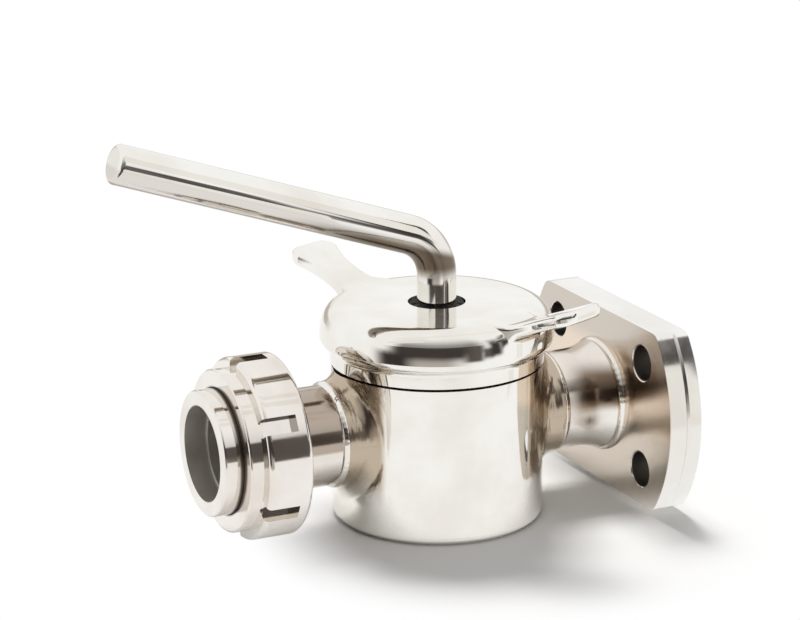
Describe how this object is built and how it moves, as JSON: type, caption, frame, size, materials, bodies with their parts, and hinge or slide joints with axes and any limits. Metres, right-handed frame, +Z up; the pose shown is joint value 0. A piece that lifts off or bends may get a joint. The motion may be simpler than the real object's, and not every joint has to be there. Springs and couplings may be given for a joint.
{
  "type": "two way plug valve",
  "caption": "Polished stainless two way plug valve with a bent rod handle, a wing cap, a slotted pipe union on one side and an oval bolted flange on the other.",
  "frame": {"origin": "centre of the tank flange's mounting face, on the flow axis", "axes": "+X out of the mounting face along the flow axis, +Z up along the plug axis, handle towards -X when the valve is open"},
  "size_m": [0.2846, 0.1821, 0.2104],
  "materials": {
    "polished_stainless": "mirror polished",
    "stainless_weld": "polished weld bead",
    "machined_stainless": "fine turned",
    "black_rubber": "matt",
    "white_ptfe": "matt"
  },
  "bodies": {
    "valve": {"valve_body": "polished_stainless", "inlet_weld": "stainless_weld", "inlet_neck": "polished_stainless", "male_weld": "stainless_weld", "union_male_part": "polished_stainless", "union_joint_ring": "black_rubber", "outlet_weld": "stainless_weld", "outlet_neck": "polished_stainless", "flange_weld": "stainless_weld", "mounting_flange": "polished_stainless", "flange_seal": "black_rubber"},
    "plug_with_handle": {"plug": "machined_stainless", "plug_seal_upper": "black_rubber", "plug_seal_lower": "black_rubber", "thrust_washer": "white_ptfe", "disc_spring": "machined_stainless", "handle": "polished_stainless", "handle_pin": "machined_stainless", "stem_wiper": "black_rubber"},
    "cap_gasket": {"cover_gasket": "black_rubber"},
    "cap": {"wing_cap": "polished_stainless"},
    "liner": {"union_liner": "polished_stainless"},
    "nut": {"union_nut": "polished_stainless"}
  },
  "joints": [
    {"name": "handle_turn", "type": "hinge", "parent": "valve", "child": "plug_with_handle", "pos_m": [-0.112, 0, 0], "axis": [0, 0, 1], "range_deg": [0, 90]},
    {"name": "cap_lift", "type": "slide", "parent": "valve", "child": "cap_gasket", "axis": [0, 0, 1], "range_m": [0, 0.0151]},
    {"name": "cap_turn", "type": "hinge", "parent": "cap_gasket", "child": "cap", "pos_m": [-0.112, 0, 0], "axis": [0, 0, 1], "range_deg": [0, 900]},
    {"name": "liner_draw", "type": "slide", "parent": "valve", "child": "liner", "axis": [-1, 0, 0], "range_m": [0, 0.0171]},
    {"name": "nut_turn", "type": "hinge", "parent": "liner", "child": "nut", "pos_m": [-0.215, 0, 0], "axis": [-1, 0, 0], "range_deg": [0, 1440]}
  ],
  "couplings": [
    {"joint": "cap_lift", "follows": "cap_turn", "m_per_rad": 0.00095493},
    {"joint": "liner_draw", "follows": "nut_turn", "m_per_rad": 0.00067376}
  ]
}
